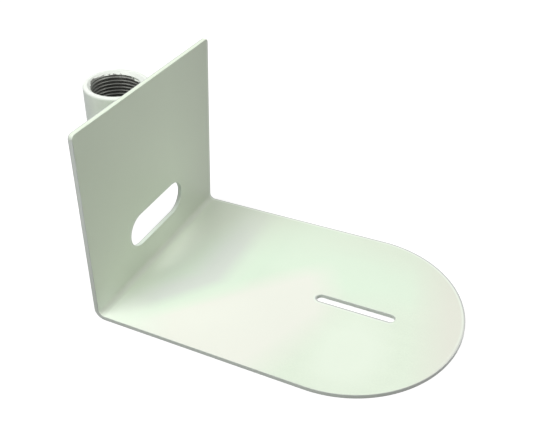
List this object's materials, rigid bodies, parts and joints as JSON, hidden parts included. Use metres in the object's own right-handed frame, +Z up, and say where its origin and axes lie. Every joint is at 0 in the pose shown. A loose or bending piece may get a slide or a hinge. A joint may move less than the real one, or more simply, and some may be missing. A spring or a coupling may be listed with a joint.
{
  "type": "camera ceiling bracket",
  "caption": "Folded sheet-steel bracket: upright leg with cable slot, level tray with round end and camera screw slot, threaded pipe socket welded behind the leg.",
  "frame": {"origin": "middle of the part's footprint, on the underside of the tray", "axes": "+X along the tray from the leg to the round end, +Y across the width, +Z up"},
  "size_m": [0.2524, 0.145, 0.1352],
  "materials": {
    "white_powder_coat": "satin powder coat with a fine texture",
    "socket_powder_coat": "satin powder coat outside, bare dark steel thread inside with paint chipped at its mouth"
  },
  "bodies": {
    "root": {"bracket_plate": "white_powder_coat", "threaded_socket": "socket_powder_coat", "weld_bead_left": "white_powder_coat", "weld_bead_right": "white_powder_coat"}
  },
  "joints": []
}
